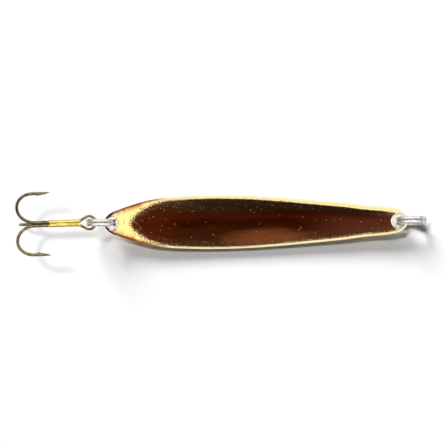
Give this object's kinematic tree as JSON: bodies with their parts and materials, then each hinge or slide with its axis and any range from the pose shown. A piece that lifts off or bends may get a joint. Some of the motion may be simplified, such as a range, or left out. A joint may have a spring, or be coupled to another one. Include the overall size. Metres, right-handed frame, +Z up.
{
  "type": "spoon lure",
  "caption": "Elongated casting spoon with a dished gilt blade, a split ring through each end and a barbed treble hook on the tail ring.",
  "frame": {"origin": "under the middle of the whole lure, on the surface that it rests on with the bowl facing up", "axes": "+X along the lure towards the line end, +Y across the blade, +Z up out of the bowl"},
  "size_m": [0.1187, 0.0184, 0.016],
  "materials": {
    "gilt_brass": "polished gilt border with a darker copper-brown bowl",
    "nickel_steel": "bright nickel-plated spring steel",
    "bronzed_steel": "bronzed hook wire",
    "braze_brass": "brass braze, as it flowed"
  },
  "bodies": {
    "blade": {"blade": "gilt_brass"},
    "head_ring": {"head_split_ring": "nickel_steel"},
    "tail_ring": {"tail_split_ring": "nickel_steel"},
    "treble": {"double_hook_wire": "bronzed_steel", "single_hook_wire": "bronzed_steel", "brass_braze": "braze_brass"}
  },
  "joints": [
    {"name": "head_ring_swing", "type": "hinge", "parent": "blade", "child": "head_ring", "pos_m": [0.0533, 0, 0.00615], "axis": [0, 1, 0], "range_deg": [-140, 20]},
    {"name": "tail_ring_swing", "type": "hinge", "parent": "blade", "child": "tail_ring", "pos_m": [-0.0343, 0, 0.00657], "axis": [0, 1, 0], "range_deg": [-115, 12]},
    {"name": "treble_swing", "type": "hinge", "parent": "tail_ring", "child": "treble", "pos_m": [-0.03861, 0.00015, 0.01077], "axis": [0, 0, 1], "range_deg": [-120, 120]}
  ]
}
